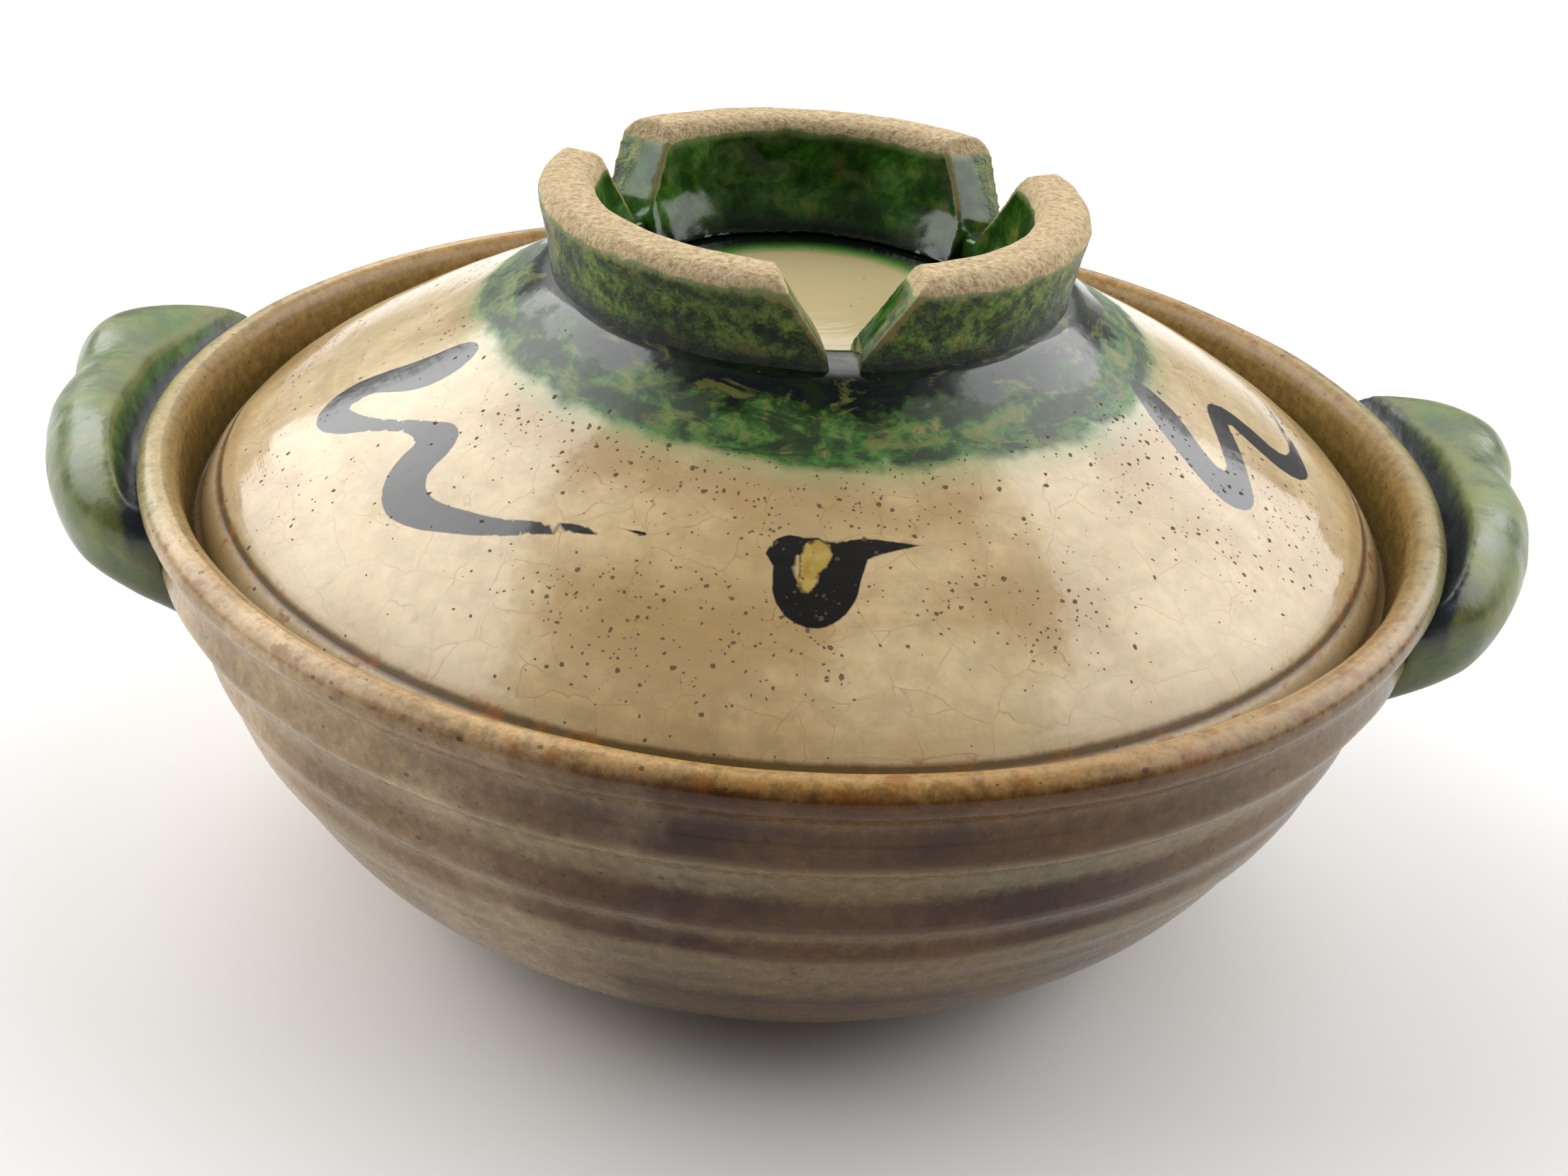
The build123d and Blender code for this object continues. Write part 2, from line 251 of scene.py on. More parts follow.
def copper_green(tree, place, lump):
    """Copper-green glaze: bright where thin, olive pits, near-black where thick. Colour socket."""
    cloud = add(tree, "TexNoise", {"Vector": place},
                {"Scale": 1 / (lump * MM), "Detail": 6, "Roughness": 0.66, "Distortion": 0.5})
    green = add(tree, "ValToRGB", {0: cloud.outputs["Fac"]}, stops=[
        (0.36, "#121B0C"), (0.68, "#93864A"), (0.43, "#20330F"), (0.48, "#2C5218"),
        (0.52, "#3A6A22"), (0.57, "#5B7D30"), (0.62, "#77763A")])
    return green.outputs[0]


# The copper green of the handles has run onto the bowl around them: dark below the lip, and a
# green tinge on the lip's outer slope.
green = copper_green(tree, place, 4)
across = add(tree, "Math", {0: axes.outputs["X"]}, operation="ABSOLUTE")
bearing = add(tree, "Math", {0: axes.outputs["Y"], 1: across}, operation="ARCTAN2")
bearing = add(tree, "Math", {0: bearing}, operation="ABSOLUTE")
bearing = add(tree, "Math", {0: shift, 2: bearing}, {1: 0.30}, operation="MULTIPLY_ADD")
near_lug = add(tree, "MapRange", {0: bearing}, {1: 0.44, 2: 0.38})
above = add(tree, "MapRange", {0: height}, {1: 0.040, 2: 0.044})
below = add(tree, "MapRange", {0: height}, {1: 0.0662, 2: 0.0652})
run = add(tree, "Math", {0: near_lug.outputs[0], 1: above.outputs[0]}, operation="MULTIPLY")
run = add(tree, "Math", {0: run, 1: below.outputs[0]}, operation="MULTIPLY")
outer_only = add(tree, "MapRange", {0: radius}, {1: 0.0945, 2: 0.0955})
run = add(tree, "Math", {0: run, 1: outer_only.outputs[0]}, operation="MULTIPLY")
dark = add(tree, "Mix", {6: green}, {0: 0.75, 7: colour("#1C2226")}, data_type="RGBA")
near_end = add(tree, "MapRange", {0: bearing}, {1: 0.56, 2: 0.34, 3: 0.0, 4: 0.5})
tinge = add(tree, "MapRange", {0: radius}, {1: 0.0915, 2: 0.0960})
tinge = add(tree, "Math", {0: near_end.outputs[0], 1: tinge.outputs[0]}, operation="MULTIPLY")
body = add(tree, "Mix", {0: tinge, 6: body.outputs[2]}, {7: colour("#6E7F45")}, data_type="RGBA")
body = add(tree, "Mix", {0: run, 6: body.outputs[2], 7: dark.outputs[2]}, data_type="RGBA")
# Bare clay under the foot and on the ledge, where the glaze was wiped off before the firing.
bare = add(tree, "MapRange", {0: height}, {1: 0.0046, 2: 0.0036})
ledge_face = add(tree, "MapRange", {0: radius}, {1: 0.0842, 2: 0.0848})
ledge_above = add(tree, "Math", {0: axes.outputs["Z"]}, {1: 0.0560}, operation="GREATER_THAN")
ledge_below = add(tree, "Math", {0: axes.outputs["Z"]}, {1: 0.0572}, operation="LESS_THAN")
ledge_bare = add(tree, "Math", {0: ledge_above, 1: ledge_below}, operation="MULTIPLY")
ledge_bare = add(tree, "Math", {0: ledge_bare, 1: ledge_face.outputs[0]}, operation="MULTIPLY")
ledge_bare = add(tree, "Math", {0: ledge_bare, 1: inner.outputs["Fac"]}, operation="MULTIPLY")
unglazed = add(tree, "Math", {0: bare.outputs[0], 1: ledge_bare}, operation="MAXIMUM")
clay = add(tree, "Mix", {0: fine.outputs["Fac"]}, {6: colour("#C6A77C"), 7: colour("#A88659")},
           data_type="RGBA")
body = add(tree, "Mix", {0: unglazed, 6: body.outputs[2], 7: clay.outputs[2]}, data_type="RGBA")
tree.links.new(body.outputs[2], surface.inputs["Base Color"])
sheen = add(tree, "MapRange", {0: fine.outputs["Fac"]}, {1: 0.3, 2: 0.7, 3: 0.16, 4: 0.32})
dull = add(tree, "Mix", {0: unglazed, 2: sheen.outputs[0]}, {3: 0.9}, data_type="FLOAT")
tree.links.new(dull.outputs[0], surface.inputs["Roughness"])
surface.inputs["IOR"].default_value = 1.5
surface.inputs["Specular IOR Level"].default_value = 0.3
peel = add(tree, "TexNoise", {"Vector": place}, {"Scale": 260, "Detail": 4})
lines = add(tree, "TexNoise", {"W": axes.outputs["Z"]}, {"Scale": 420, "Detail": 4},
            noise_dimensions="1D")
relief = add(tree, "Math", {0: peel.outputs["Fac"], 1: lines.outputs["Fac"]}, operation="ADD")
relief = add(tree, "Math", {0: relief, 1: speck}, operation="SUBTRACT")
bump = add(tree, "Bump", {"Height": relief}, {"Strength": 0.45, "Distance": 0.3 * MM})
tree.links.new(bump.outputs[0], surface.inputs["Normal"])
bowl.data.materials.append(bowl_glaze)
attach(bowl, "pot")
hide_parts("pot_bowl")

# THE TWO HANDLES. Lugs of the same clay, pressed on at the rim and dented in the middle by
# the potter's thumb. Copper-green glaze, which breaks olive on the edges and pools almost
# black in the hollow between the lug and the lip. Fired on, so they move with the bowl.


def from_solid(name, node, grain, softening, sink):
    """A copy of a CAD node's shape: sink() moves the faces that stand on other clay into it, then
    the copy is remeshed and its corners are worn soft."""
    bpy.ops.object.select_all(action="DESELECT")
    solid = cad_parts[node]
    piece = bpy.data.objects.new(name, solid.data.copy())
    piece.data.name = name
    bpy.context.scene.collection.objects.link(piece)
    piece.data.materials.clear()
    piece.select_set(True)
    bpy.context.view_layer.objects.active = piece
    bpy.ops.object.mode_set(mode="EDIT")
    bpy.ops.mesh.select_all(action="SELECT")
    bpy.ops.mesh.remove_doubles(threshold=0.01 * MM)
    bpy.ops.object.mode_set(mode="OBJECT")
    sink(piece)
    finish(piece, "REMESH", mode="VOXEL", voxel_size=grain * MM, use_smooth_shade=True)
    finish(piece, "SMOOTH", factor=0.5, iterations=softening)
    return piece


def move(piece, kind, chosen, turn, **settings):
    """Selects the piece's faces or points that chosen() picks, and moves them with one operator."""
    bpy.ops.object.mode_set(mode="EDIT")
    bpy.ops.mesh.select_all(action="DESELECT")
    bpy.ops.mesh.select_mode(type=kind)
    bpy.ops.object.mode_set(mode="OBJECT")
    for part in piece.data.polygons if kind == "FACE" else piece.data.vertices:
        part.select = chosen(part)
    bpy.ops.object.mode_set(mode="EDIT")
    turn(**settings)
    bpy.ops.object.mode_set(mode="OBJECT")


def into_bowl(lug):
    """Moves the faces of a lug that lie on the bowl's wall 1.5 mm into it."""
    def against_bowl(face):
        out = Vector((face.center.x, face.center.y, 0))
        return face.normal.dot(out.normalized()) < -0.4 and out.length < 97.8 * MM
    closer = 0.985  # of the 97 mm from the axis to the wall
    move(lug, "FACE", against_bowl, bpy.ops.transform.resize, value=(closer, closer, 1),
         center_override=(0, 0, 0))


def proudness(piece, rounds):
    """How far each point stands out from the surface around it, in millimetres."""
    places, normals = points(piece)
    ends = np.zeros(len(piece.data.edges) * 2, int)
    piece.data.edges.foreach_get("vertices", ends)
    ends = ends.reshape(-1, 2)
    here, there = np.concatenate([ends, ends[:, ::-1]]).T
    neighbours = np.bincount(here, minlength=len(places))
    soft = places.copy()
    for _ in range(rounds):
        soft = np.stack([np.bincount(here, soft[there, axis], len(places)) / neighbours
                         for axis in range(3)], 1)
    return ((places - soft) * normals).sum(1)


# Copper-green glaze, glassy but a little rippled: it shows the clay olive-brown wherever an edge
# thins it. The underside is painted dark olive, as painted shade, and its lowest part, which the
# glaze ran off, is brown.
handle_glaze, tree, surface, place = glaze("copper_green_glaze_handles")
axes = add(tree, "SeparateXYZ", {0: place})
flat = add(tree, "VectorMath", {0: place}, {1: (1, 1, 0)}, operation="MULTIPLY")
radius = add(tree, "VectorMath", {0: flat}, operation="LENGTH").outputs["Value"]
green = copper_green(tree, place, 11)
soft = add(tree, "Mix", {6: green}, {0: 0.66, 7: colour("#466330")}, data_type="RGBA")
drift = add(tree, "TexNoise", {"Vector": place}, {"Scale": 110, "Detail": 5, "Roughness": 0.65})
thin_edge = add(tree, "Attribute", attribute_name="proud")
breaks = add(tree, "Math", {0: drift.outputs["Fac"], 2: thin_edge.outputs["Fac"]}, {1: 0.25},
             operation="MULTIPLY_ADD")
breaks = add(tree, "MapRange", {0: breaks}, {1: 0.16, 2: 0.40, 3: 0, 4: 0.6})
soft = add(tree, "Mix", {0: breaks.outputs[0], 6: soft.outputs[2]}, {7: colour("#74713A")},
           data_type="RGBA")
lumpy = add(tree, "MapRange", {0: drift.outputs["Fac"]}, {1: 0.40, 2: 0.60, 3: 0.72, 4: 1.22})
soft = add(tree, "VectorMath", {0: soft.outputs[2], 1: lumpy}, operation="MULTIPLY")
wander = add(tree, "Math", {0: drift.outputs["Fac"], 2: radius}, {1: 0.003}, operation="MULTIPLY_ADD")
pool = add(tree, "MapRange", {0: wander}, {1: 0.1012, 2: 0.1000})
low = add(tree, "MapRange", {0: axes.outputs["Z"]}, {1: 0.0710, 2: 0.0690})
pool = add(tree, "Math", {0: pool.outputs[0], 1: low.outputs[0]}, operation="MULTIPLY")
high = add(tree, "MapRange", {0: axes.outputs["Z"]}, {1: 0.0570, 2: 0.0620})
pool = add(tree, "Math", {0: pool, 1: high.outputs[0]}, operation="MULTIPLY")
hollow = add(tree, "Mix", {0: pool, 6: soft}, {7: colour("#22272B")}, data_type="RGBA")
# The lower part of the lug is painted darker: painted shade under the lug.
shaded_underside = add(tree, "Math", {0: drift.outputs["Fac"], 2: axes.outputs["Z"]}, {1: 0.006},
            operation="MULTIPLY_ADD")
shaded_underside = add(tree, "MapRange", {0: shaded_underside}, {1: 0.063, 2: 0.052, 3: 0, 4: 0.85})
thick = add(tree, "Mix", {0: shaded_underside.outputs[0], 6: hollow.outputs[2]}, {7: colour("#3A3D20")},
            data_type="RGBA")
root = add(tree, "MapRange", {0: axes.outputs["Z"]}, {1: 0.048, 2: 0.043, 3: 0, 4: 0.6})
thick = add(tree, "Mix", {0: root.outputs[0], 6: thick.outputs[2]}, {7: colour("#7C6744")},
            data_type="RGBA")
tree.links.new(thick.outputs[2], surface.inputs["Base Color"])
sheen = add(tree, "MapRange", {0: drift.outputs["Fac"]}, {1: 0.42, 2: 0.58, 3: 0.26, 4: 0.42})
tree.links.new(sheen.outputs[0], surface.inputs["Roughness"])
surface.inputs["IOR"].default_value = 1.5
peel = add(tree, "TexNoise", {"Vector": place}, {"Scale": 220, "Detail": 4})
bump = add(tree, "Bump", {"Height": peel.outputs["Fac"]}, {"Strength": 0.5, "Distance": 0.5 * MM})
tree.links.new(bump.outputs[0], surface.inputs["Normal"])

# The channel between lug and lip, cut with a ring-shaped tool as a loop tool would: it runs a
# little off centre, so it is wider at the back than at the front, and the two lugs differ.
channel_outline = [
    (0, 65.0), (60, 65.0), (97.0, 65.0), (97.9, 65.1), (98.8, 65.6), (99.5, 66.7), (100.0, 68.2),
    (100.5, 70.0), (101.1, 72.0), (102.0, 76.0), (60, 76.0), (0, 76.0)]
backward = 1.0
for side, aside in (("left", 0.3), ("right", -1.2)):
    lug = from_solid("lug_" + side, "handle_" + side, 0.7, 3, into_bowl)
    tool = throw("channel_tool", channel_outline, 120)
    tool.data.transform(Matrix.Translation((aside * MM, backward * MM, 0)))
    finish(lug, "BOOLEAN", object=tool, operation="DIFFERENCE", solver="EXACT")
    bpy.data.objects.remove(tool)
    finish(lug, "REMESH", mode="VOXEL", voxel_size=0.6 * MM, use_smooth_shade=True)
    finish(lug, "SMOOTH", factor=0.5, iterations=6)
    finish(lug, "DISPLACE", texture=unevenness("lug_lumps_" + side, 13), strength=0.6 * MM,
           mid_level=0.5)
    keep(lug, "proud", proudness(lug, 24))
    lug.data.materials.append(handle_glaze)
    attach(lug, "pot")
    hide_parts("handle_" + side)

# THE LID. A thrown dome of the same clay, with one incised line inside its edge and a flat
# that carries the knob. Pale ash glaze over iron-oxide brush marks, pitted by pinholes, and
# copper green poured round the knob. The edge that rests on the ledge is bare clay.

lid_outline = [
    (0, 82.45), (12, 82.3), (20, 82.0), (29, 81.4), (35.5, 80.4), (41.5, 78.7), (47, 76.9),
    (52.2, 74.8), (59.0, 72.4), (65.1, 70.0), (70.9, 66.9), (76.7, 62.9), (80.5, 60.2),
    (82.1, 58.6), (82.9, 57.3), (83.5, 57.05), (85.2, 57.05), (86.7, 57.05), (87.7, 57.3),
    (88.3, 58.0), (88.5, 58.9), (88.3, 60.0), (87.6, 61.2), (86.9, 62.1), (86.3, 62.75),
    (85.95, 63.0), (85.75, 63.1), (85.55, 63.4), (85.2, 64.0), (84.4, 64.9), (83.2, 66.0), (81.8, 67.0),
    (79.8, 68.6), (77.7, 70.1), (74.6, 72.1), (71.4, 74.1), (68.3, 75.9), (65.3, 77.6),
    (62.1, 79.3), (59.0, 80.9), (55.9, 82.5), (52.9, 84.1), (49.8, 85.9), (46.7, 87.8),
    (44.6, 89.2), (42.5, 90.7), (41.0, 91.8), (39.9, 92.7), (38.9, 93.4), (37.4, 93.85),
    (35.5, 93.9), (33.0, 93.9), (30.6, 93.9), (29.9, 93.6), (29.7, 91.6), (29.6, 89.7),
    (28.7, 89.0), (21.0, 88.9), (16.0, 88.85), (10.0, 88.8), (0, 88.8)]
lid = throw("lid", lid_outline, 320)
finish(lid, "DISPLACE", texture=unevenness("lid_lumps", 30), strength=0.4 * MM, mid_level=0.5)
# The steam hole, poked through the back of the dome.
steam_radius, steam_back, steam_height = 2.6, 62, 76
bpy.ops.object.select_all(action="DESELECT")
bpy.ops.mesh.primitive_cylinder_add(vertices=40, radius=steam_radius * MM, depth=24 * MM,
                                    location=(0, steam_back * MM, steam_height * MM))
steam_pin = bpy.context.object
finish(lid, "BOOLEAN", object=steam_pin, operation="DIFFERENCE", solver="EXACT")
bpy.data.objects.remove(steam_pin)

# Brush marks, drawn as a loaded brush goes: each point is where the brush was (x, y in
# millimetres, seen from above) and half the width it left there.
brush_marks = {
    "curl": [(-46.6, -20.7, 0.8), (-48.5, -20.6, 3.2), (-51.5, -21.2, 4.0), (-55, -20.6, 3.4),
             (-59, -19.3, 2.6), (-62.6, -19.2, 2.7), (-65.2, -20.6, 2.6), (-65.2, -24, 2.3),
             (-62.3, -27.3, 1.9), (-58.8, -29.6, 1.3), (-55, -31.8, 1.1), (-51.5, -34, 1.3),
             (-47.8, -37.6, 2.5), (-48.6, -39.6, 3.2), (-50.4, -41.5, 3.1), (-51.1, -44.5, 3.0),
             (-50.3, -47.6, 2.7), (-47.6, -50.6, 2.2), (-43.5, -53, 1.8), (-37.5, -55.6, 1.3),
             (-30, -57.3, 0.9), (-24, -58.4, 0.65), (-18, -59.4, 0.3)],
    "zigzag": [(48.2, -16.4, 2.1), (50.7, -18.8, 3.1), (52.8, -22.1, 3.0), (55, -25.2, 2.8),
               (57.6, -28, 2.9), (60, -29.2, 3.0), (61.7, -27.6, 2.2), (62, -24.5, 1.8),
               (61.5, -18, 1.8), (60.6, -12, 1.6), (60.6, -8.9, 1.5), (62.4, -7.9, 1.9),
               (65.5, -9.7, 2.4), (68.8, -11.6, 2.5), (71.4, -11.8, 2.7), (73.4, -9.8, 2.0),
               (74.1, -6, 1.2), (73.9, -1, 0.9), (73, 6, 0.7), (71.8, 12, 0.2)],
    "dab": [(8.4, -61, 1.6), (7.2, -63.4, 2.1), (6.2, -66.2, 2.5), (4.2, -68.2, 2.7),
            (2, -68.3, 2.4), (0.3, -67, 1.9), (-0.6, -64.9, 1.2), (-0.9, -62.8, 0.9)],
    "dab_top": [(-2, -61.8, 0.9), (-0.3, -61, 1.6), (1.4, -60.5, 1.1), (4, -59.9, 0.7),
                (7, -59.9, 0.7), (9.5, -60, 1.3), (12.4, -59.2, 0.8), (15, -58.4, 0.45),
                (17.4, -57.7, 0.1)],
    "dab_thin": [(3.6, -61.6, 2.0), (2.8, -63.6, 1.4), (2.2, -66, 1.0)],
}


def along(marks, steps=14):
    """The brush's path between its points, rounded as a hand rounds it."""
    marks = np.array([marks[0], *marks, marks[-1]], float)
    path = []
    for a, b, c, d in zip(marks, marks[1:], marks[2:], marks[3:]):
        for t in np.arange(steps) / steps:
            path.append(0.5 * (2 * b + (c - a) * t + (2 * a - 5 * b + 4 * c - d) * t ** 2
                               + (3 * b - a - 3 * c + d) * t ** 3))
    return np.array(path + [marks[-1]])


lid_points, lid_normals = points(lid)
reach = np.full(len(lid_points), 30.0)
upper = lid_normals[:, 2] > 0.1
for marks in brush_marks.values():
    for x, y, half in along(marks):
        there = np.hypot(lid_points[upper, 0] - x, lid_points[upper, 1] - y) - half
        reach[upper] = np.minimum(reach[upper], there)
keep(lid, "brush", reach)
thinned = np.full(len(lid_points), 9.0)
for x, y, half in along(brush_marks["dab_thin"]):
    thinned = np.minimum(thinned, np.hypot(lid_points[:, 0] - x, lid_points[:, 1] - y) - half)
keep(lid, "thin_iron", thinned)

lid_glaze, tree, surface, place = glaze("ash_glaze_on_stoneware_lid")
axes = add(tree, "SeparateXYZ", {0: place})
flat = add(tree, "VectorMath", {0: place}, {1: (1, 1, 0)}, operation="MULTIPLY")
radius = add(tree, "VectorMath", {0: flat}, operation="LENGTH").outputs["Value"]
drift = add(tree, "TexNoise", {"Vector": place}, {"Scale": 30, "Detail": 5, "Roughness": 0.6})
fine = add(tree, "TexNoise", {"Vector": place}, {"Scale": 300, "Detail": 6, "Roughness": 0.7})
base = add(tree, "ValToRGB", {0: drift.outputs["Fac"]}, stops=[
    (0.38, "#B49B70"), (0.64, "#D2BD96"), (0.46, "#C0A77D"), (0.54, "#C9B289")])
# The thrower's finger lines: a band of broken brown 70 mm out, and a browner edge.
lines = add(tree, "TexNoise", {"W": radius}, {"Scale": 330, "Detail": 4}, noise_dimensions="1D")
wander = add(tree, "Math", {0: drift.outputs["Fac"], 2: radius}, {1: 0.006}, operation="MULTIPLY_ADD")
tone = add(tree, "MapRange", {0: wander}, {1: 0.050, 2: 0.095})
brown_rings = add(tree, "ValToRGB", {0: tone}, stops=[
    (0.0, 0.10), (1.0, 0.95), (0.38, 0.10), (0.46, 0.55), (0.52, 0.55), (0.58, 0.12), (0.72, 0.10),
    (0.80, 0.50)])
ring_part = add(tree, "Math", {0: brown_rings, 1: lines.outputs["Fac"]}, operation="MULTIPLY")
ash = add(tree, "Mix", {0: ring_part, 6: base}, {7: colour("#957A4A")}, data_type="RGBA")
mottle = add(tree, "MapRange", {0: fine.outputs["Fac"]}, {1: 0.38, 2: 0.62, 3: 0.90, 4: 1.09})
ash = add(tree, "VectorMath", {0: ash.outputs[2], 1: mottle}, operation="MULTIPLY")
# The incised line near the edge holds brown glaze, and rust freckles lie along it.
line_radius = 85.6
line_near = add(tree, "Math", {0: radius}, {1: line_radius * MM}, operation="SUBTRACT")
line_near = add(tree, "Math", {0: line_near}, operation="ABSOLUTE")
line_near = add(tree, "Math", {0: fine.outputs["Fac"], 2: line_near}, {1: 0.0006},
                operation="MULTIPLY_ADD")
line_dark = add(tree, "MapRange", {0: line_near}, {1: 0.0010, 2: 0.0006, 3: 0, 4: 0.85})
ash = add(tree, "Mix", {0: line_dark.outputs[0], 6: ash}, {7: colour("#51390F")}, data_type="RGBA")
rust = add(tree, "TexNoise", {"Vector": place}, {"Scale": 300, "Detail": 4, "Roughness": 0.6})
rust_spots = add(tree, "MapRange", {0: rust.outputs["Fac"]}, {1: 0.55, 2: 0.63, 3: 0, 4: 0.85})
edge_band = add(tree, "ValToRGB", {0: add(tree, "MapRange", {0: radius}, {1: 0.0825, 2: 0.0890})},
                stops=[(0.0, 0.0), (1.0, 0.35), (0.30, 0.15), (0.42, 1.0), (0.62, 1.0), (0.74, 0.35)])
rust_part = add(tree, "Math", {0: rust_spots.outputs[0], 1: edge_band}, operation="MULTIPLY")
ash = add(tree, "Mix", {0: rust_part, 6: ash.outputs[2]}, {7: colour("#8F5A1F")}, data_type="RGBA")
# Crazing: hair cracks in the glaze, 5 to 12 mm apart, stained a little browner.
bent = add(tree, "VectorMath", {0: drift.outputs["Color"], 2: place}, {1: (0.01, 0.01, 0.01)},
           operation="MULTIPLY_ADD")
crazing = add(tree, "TexVoronoi", {"Vector": bent}, {"Scale": 1 / (8 * MM)}, feature="DISTANCE_TO_EDGE")
crack = add(tree, "MapRange", {0: crazing.outputs["Distance"]}, {1: 0.014, 2: 0.0, 3: 0, 4: 0.5})
where = add(tree, "MapRange", {0: fine.outputs["Fac"]}, {1: 0.42, 2: 0.58})
crack = add(tree, "Math", {0: crack.outputs[0], 1: where.outputs[0]}, operation="MULTIPLY")
ash = add(tree, "Mix", {0: crack, 6: ash.outputs[2]}, {7: colour("#7F6238")}, data_type="RGBA")
# Pinholes: pits with ragged edges where gas left the clay, 0.1 to 0.8 mm, thickest just outside
# the green and in a ring 73 mm out. A second, finer set lies between the first.
patch = add(tree, "MapRange", {0: drift.outputs["Fac"]}, {1: 0.44, 2: 0.56, 3: 1.5, 4: 0.2})
crowd = add(tree, "ValToRGB", {0: tone}, stops=[
    (0.0, 0.02), (1.0, 0.10), (0.05, 0.45), (0.16, 0.60), (0.28, 0.36), (0.36, 0.22), (0.46, 0.45),
    (0.58, 0.62), (0.68, 0.40), (0.76, 0.10)])
crowd = add(tree, "Math", {0: crowd, 1: patch.outputs[0]}, operation="MULTIPLY")
pitted = add(tree, "VectorMath", {0: fine.outputs["Color"], 2: place},
             {1: (1.6 * MM, 1.6 * MM, 1.6 * MM)}, operation="MULTIPLY_ADD")
pit = None
for spacing, widest in ((1.6, 0.25), (0.9, 0.26)):
    holes = add(tree, "TexVoronoi", {"Vector": pitted}, {"Scale": 1 / (spacing * MM)})
    chance = add(tree, "SeparateColor", {0: holes.outputs["Color"]})
    picked = add(tree, "Math", {0: chance.outputs[0], 1: crowd}, operation="LESS_THAN")
    size = add(tree, "MapRange", {0: chance.outputs[1]}, {1: 0, 2: 1, 3: 0.06, 4: widest})
    hole = add(tree, "Math", {0: holes.outputs["Distance"], 1: size}, operation="LESS_THAN")
    hole = add(tree, "Math", {0: hole, 1: picked}, operation="MULTIPLY")
    pit = hole if pit is None else add(tree, "Math", {0: pit, 1: hole}, operation="MAXIMUM")
# Round a pinhole the glaze has drawn back and looks browner.
stain = add(tree, "Math", {0: crowd, 1: fine.outputs["Fac"]}, operation="MULTIPLY")
stain = add(tree, "MapRange", {0: stain}, {1: 0.20, 2: 0.46, 3: 0, 4: 0.38})
ash = add(tree, "Mix", {0: stain.outputs[0], 6: ash.outputs[2]}, {7: colour("#967545")},
          data_type="RGBA")
# The copper green round the knob: near-black where it pooled against the lobes, then broken
# green and olive in rings as the pot turned, and bright at its edge, where it is thinnest.
green = copper_green(tree, place, 3.2)
edge_noise = add(tree, "TexNoise", {"Vector": place}, {"Scale": 170, "Detail": 5, "Roughness": 0.6})
beside = add(tree, "VectorMath", {0: flat}, {1: (0.0015, 0, 0)}, operation="SUBTRACT")
beside = add(tree, "VectorMath", {0: beside}, operation="LENGTH").outputs["Value"]
green_reach = add(tree, "Math", {0: edge_noise.outputs["Fac"], 2: beside}, {1: 0.0040},
                  operation="MULTIPLY_ADD")
green_reach = add(tree, "Math", {0: drift.outputs["Fac"], 2: green_reach}, {1: 0.0060},
                  operation="MULTIPLY_ADD")
ragged_reach = add(tree, "Math", {0: edge_noise.outputs["Fac"], 2: beside}, {1: 0.0120},
                   operation="MULTIPLY_ADD")
green_rings = add(tree, "MapRange", {0: ragged_reach}, {1: 0.0445, 2: 0.0570})
bright = add(tree, "ValToRGB", {0: green_rings}, stops=[
    (0.0, "#0D1215"), (1.0, "#6F9457"), (0.24, "#0F1618"), (0.32, "#1B3113"), (0.46, "#35601F"),
    (0.60, "#2B4A16"), (0.70, "#1D3312"), (0.78, "#2C5A1C"), (0.86, "#3F7A2C"), (0.94, "#4A8136")])
mixed = add(tree, "ValToRGB", {0: green_rings}, stops=[
    (0.0, 0.0), (1.0, 0.15), (0.26, 0.0), (0.38, 0.75), (0.66, 0.75), (0.80, 0.40)])
green = add(tree, "Mix", {0: mixed, 6: bright, 7: green}, data_type="RGBA")
# The turning pot drew the green out into dark and olive streaks, some 3 mm wide and 10 mm long.
ahead = add(tree, "Math", {0: axes.outputs["Y"]}, {1: -1}, operation="MULTIPLY")
bearing = add(tree, "Math", {0: axes.outputs["X"], 1: ahead}, operation="ARCTAN2")
bearing = add(tree, "Math", {0: bearing}, {1: 0.018}, operation="MULTIPLY")
wide = add(tree, "Math", {0: beside}, {1: 1.3}, operation="MULTIPLY")
streaks = add(tree, "TexNoise", {"Vector": add(tree, "CombineXYZ", {0: wide, 1: bearing})},
              {"Scale": 260, "Detail": 6, "Roughness": 0.62, "Distortion": 0.6})
dark_streak = add(tree, "MapRange", {0: streaks.outputs["Fac"]}, {1: 0.50, 2: 0.58, 3: 0, 4: 0.85})
green = add(tree, "Mix", {0: dark_streak.outputs[0], 6: green.outputs[2]}, {7: colour("#1A2A10")},
            data_type="RGBA")
olive_streak = add(tree, "MapRange", {0: streaks.outputs["Fac"]}, {1: 0.45, 2: 0.38, 3: 0, 4: 0.6})
green = add(tree, "Mix", {0: olive_streak.outputs[0], 6: green.outputs[2]}, {7: colour("#77793B")},
            data_type="RGBA")
skirt = add(tree, "MapRange", {0: green_reach}, {1: 0.0554, 2: 0.0538})
halo = add(tree, "MapRange", {0: green_reach}, {1: 0.0580, 2: 0.0546, 3: 0, 4: 0.6})
ash = add(tree, "Mix", {0: halo.outputs[0], 6: ash.outputs[2]}, {7: colour("#8FA072")},
          data_type="RGBA")
